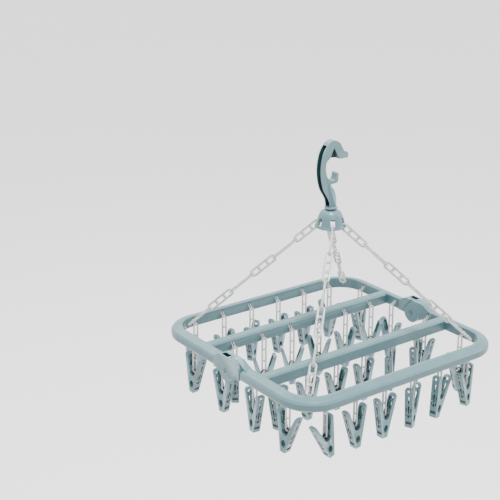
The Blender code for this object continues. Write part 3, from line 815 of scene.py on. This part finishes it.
def spring_mesh():
    """Coil about Y with a leg that ends in each jaw's outer slot."""
    points = []
    for i in range(COIL_STEPS + 1):
        t = i / COIL_STEPS
        angle = math.radians(-90) + 2 * math.pi * COIL_TURNS * t
        points.append(Vector((COIL_RADIUS * math.cos(angle),
                              COIL_PITCH * COIL_TURNS * (t - 0.5),
                              COIL_RADIUS * math.sin(angle))))
    right = [Vector(p) / 1000.0 for p in SPRING_LEG]
    left = [Vector((-p.x, -p.y, p.z)) for p in right]
    route = left[::-1] + points + right
    curve = bpy.data.curves.new("spring", "CURVE")
    curve.dimensions = "3D"
    curve.bevel_depth = WIRE
    curve.bevel_resolution = 2
    curve.use_fill_caps = True
    spline = curve.splines.new("POLY")
    spline.points.add(len(route) - 1)
    for point, place in zip(spline.points, route):
        point.co = (*place, 1)
    obj = bpy.data.objects.new("spring", curve)
    bpy.context.scene.collection.objects.link(obj)
    bpy.context.view_layer.update()
    graph = bpy.context.evaluated_depsgraph_get()
    mesh = bpy.data.meshes.new_from_object(obj.evaluated_get(graph))
    bpy.data.objects.remove(obj, do_unlink=True)
    mesh.shade_smooth()
    return mesh


def clip(row, number, meshes):
    name = "clip_%s_%d" % (row, number)
    twist, lean = TURNS[row][number - 1]
    joint = Vector(JOINTS[name + "_hang"]["pos_m"])
    turn = Matrix.Rotation(math.radians(twist), 4, "Z")
    tilt = Matrix.Rotation(math.radians(lean), 4, "Y")
    hang = Matrix.Translation(joint) @ turn
    spring = hang @ Matrix.Translation((0, 0, -SPRING_DROP))
    flip = Matrix.Rotation(math.pi, 4, "Z")
    split = row == "front"
    squeezed = "left" if lean <= 0 else "right"
    for side, facing in (("right", Matrix()), ("left", flip)):
        jaw = meshes["jaw"].copy()
        jaw.transform(facing @ tilt @ facing)
        moving = split and side == squeezed
        body = "%s_%s_jaw" % (name, side) if moving else name
        nodes = ["%s_%s_jaw" % (name, side)] if split else []
        piece("%s_%s_jaw_visual" % (name, side), jaw, BLUE, body, nodes, spring @ facing)
    nodes = [name + "_spring"] if split else [name]
    coil = meshes["spring"].copy()
    coil.transform(tilt)
    piece(name + "_spring_visual", coil, STEEL, name, nodes, spring)
    quarter = 90 if split else LADDER_TURN[row] - twist
    top = Matrix.Translation((0, 0, DROP_TOP)) @ Matrix.Rotation(math.radians(quarter), 4, "Z")
    body = name + "_drop_chain" if split else name
    nodes = [name + "_drop_chain"] if split else []
    piece(name + "_drop_chain_visual", meshes["drop"], CLEAR, body, nodes, hang @ top)
    first_link(name, joint, meshes["first"])


def first_link(name, joint, mesh):
    """Short link from the clip's hole to the top of its drop chain."""
    half = "rear_half" if joint.y > 0 else "front_half"
    top = joint + Vector((0, 0, DROP_TOP - FIRST_AIM))
    if name.startswith(("clip_left", "clip_right")):
        hole = Vector((math.copysign(HALF_WIDTH - HOLE_INSET, joint.x), joint.y,
                       FRAME_Z + HOLE_Z))
    else:
        toward = math.copysign(1.0, joint.y)
        line = BAR_Y if abs(joint.y) < 0.1 else HALF_DEPTH
        hole = Vector((joint.x, toward * (line - HOLE_INSET), FRAME_Z + HOLE_Z))
    axis = (hole - top).normalized()
    across = Vector((0, 0, 1)).cross(axis).normalized()
    normal = axis.cross(across)
    turn = Matrix((across, normal, axis)).transposed()
    if turn.determinant() < 0:
        turn = Matrix((-across, normal, axis)).transposed()
    piece(name + "_first_link", mesh, CLEAR, half, (),
          Matrix.Translation(hole + axis * FIRST_START) @ turn.to_4x4())


def clips():
    drop_length = DROP_TOP + SPRING_DROP + DROP_FOOT
    meshes = {
        "jaw": jaw_mesh(),
        "spring": spring_mesh(),
        "drop": link_mesh("drop_link", drop_length, DROP_WIDTH, DROP_THICK, DROP_RAIL,
                          DROP_BRIDGE),
        "first": link_mesh("first_link", *FIRST_LINK),
    }
    for row, turns in TURNS.items():
        for i in range(len(turns)):
            clip(row, i + 1, meshes)


# ---- Studio ----------------------------------------------------------------------
def floor():
    bm = bmesh.new()
    bmesh.ops.create_grid(bm, x_segments=8, y_segments=8, size=40.0)
    obj = bpy.data.objects.new("floor", to_mesh("floor", bm))
    obj.location.z = FLOOR_Z
    material, tree, shader, place = new_material("floor_paint")
    tone = remap(tree, noise(tree, place, 0.4), 0.0, 1.0)
    body = mix_colours(tree, tone, (0.955, 0.955, 0.955), (0.97, 0.97, 0.97))
    tree.links.new(body, shader.inputs["Base Color"])
    shader.inputs["Roughness"].default_value = 0.9
    obj.data.materials.append(material)
    bpy.context.scene.collection.objects.link(obj)


def area_light(name, place, target, size, power):
    data = bpy.data.lights.new(name, "AREA")
    data.shape = "SQUARE"
    data.size = size
    data.energy = power
    obj = bpy.data.objects.new(name, data)
    obj.location = place
    aim = Vector(target) - Vector(place)
    obj.rotation_euler = aim.to_track_quat("-Z", "Y").to_euler()
    bpy.context.scene.collection.objects.link(obj)


def lights():
    for name, place, size, power in LAMPS:
        area_light(name, place, (0, 0, FRAME_Z), size, power)
    world = bpy.data.worlds.new("studio")
    world.use_nodes = True
    background = world.node_tree.nodes["Background"]
    background.inputs["Color"].default_value = (1.0, 1.0, 1.0, 1.0)
    background.inputs["Strength"].default_value = SKY
    bpy.context.scene.world = world


def camera():
    data = bpy.data.cameras.new("camera")
    data.lens = CAMERA_LENS
    data.sensor_width = 36.0
    obj = bpy.data.objects.new("camera", data)
    turn = Matrix.Rotation(-CAMERA_AZIMUTH, 3, "Z")
    turn = turn @ Matrix.Rotation(math.pi / 2 - CAMERA_ELEVATION, 3, "X")
    offset = Vector((*CAMERA_OFFSET, CAMERA_DISTANCE))
    obj.location = turn @ offset + Vector((0, 0, FRAME_Z))
    obj.rotation_euler = turn.to_euler()
    bpy.context.scene.collection.objects.link(obj)
    bpy.context.scene.camera = obj


hook()
dome()
frame_half("frame_rear_half", 1, "rear_half")
frame_half("frame_front_half", -1, "front_half")
hinge_pins()
suspension_chains()
clips()
floor()
lights()
camera()
